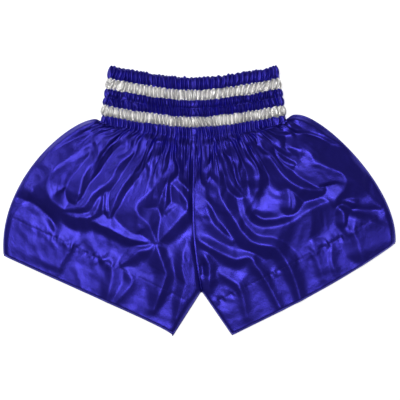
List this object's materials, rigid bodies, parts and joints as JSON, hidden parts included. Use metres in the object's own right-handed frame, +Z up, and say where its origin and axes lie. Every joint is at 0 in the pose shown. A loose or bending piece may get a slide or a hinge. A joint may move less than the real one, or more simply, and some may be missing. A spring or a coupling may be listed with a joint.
{
  "type": "boxing shorts",
  "caption": "Elastic-waist satin boxing shorts laid flat, with a shirred waistband, two silver ribbons, wide gathered legs and deep turned-up hems.",
  "frame": {"origin": "middle of the garment's box, on the surface it lies on", "axes": "+X across the garment towards the wearer's left leg, +Y towards the waist, +Z up out of the front"},
  "size_m": [0.6881, 0.4712, 0.0285],
  "materials": {
    "blue_satin": "glossy woven satin",
    "satin_inside": "duller wrong side of the satin",
    "silver_satin": "satin ribbon",
    "elastic": "woven elastic tape",
    "thread": "polyester sewing thread"
  },
  "bodies": {
    "hips": {"waistband_casing": "blue_satin", "waistband_lining": "satin_inside", "elastic_strip_1": "elastic", "elastic_strip_2": "elastic", "elastic_strip_3": "elastic", "elastic_strip_4": "elastic", "elastic_strip_5": "elastic", "elastic_strip_6": "elastic", "silver_ribbon_upper": "silver_satin", "silver_ribbon_lower": "silver_satin", "waistband_stitching": "thread", "right_front_panel_hip": "blue_satin", "left_front_panel_hip": "blue_satin", "right_back_panel_hip": "blue_satin", "left_back_panel_hip": "blue_satin", "front_centre_seam": "blue_satin", "back_centre_seam": "blue_satin", "centre_seam_stitching": "thread", "crotch_gusset": "blue_satin", "right_side_seam_hip": "blue_satin", "left_side_seam_hip": "blue_satin"},
    "right_leg": {"right_front_panel_leg": "blue_satin", "right_back_panel_leg": "blue_satin", "right_front_hem_facing": "satin_inside", "right_back_hem_facing": "satin_inside", "right_side_seam_leg": "blue_satin", "right_inseam": "blue_satin", "right_hem_stitching": "thread"},
    "left_leg": {"left_front_panel_leg": "blue_satin", "left_back_panel_leg": "blue_satin", "left_front_hem_facing": "satin_inside", "left_back_hem_facing": "satin_inside", "left_side_seam_leg": "blue_satin", "left_inseam": "blue_satin", "left_hem_stitching": "thread"}
  },
  "joints": [
    {"name": "right_leg_fold", "type": "hinge", "parent": "hips", "child": "right_leg", "pos_m": [-0.16002, -0.07011, 0.029], "axis": [-0.7852, 0.6193, 0], "range_deg": [0, 120]},
    {"name": "left_leg_fold", "type": "hinge", "parent": "hips", "child": "left_leg", "pos_m": [0.15931, -0.06909, 0.029], "axis": [-0.7642, -0.645, 0], "range_deg": [0, 120]}
  ]
}
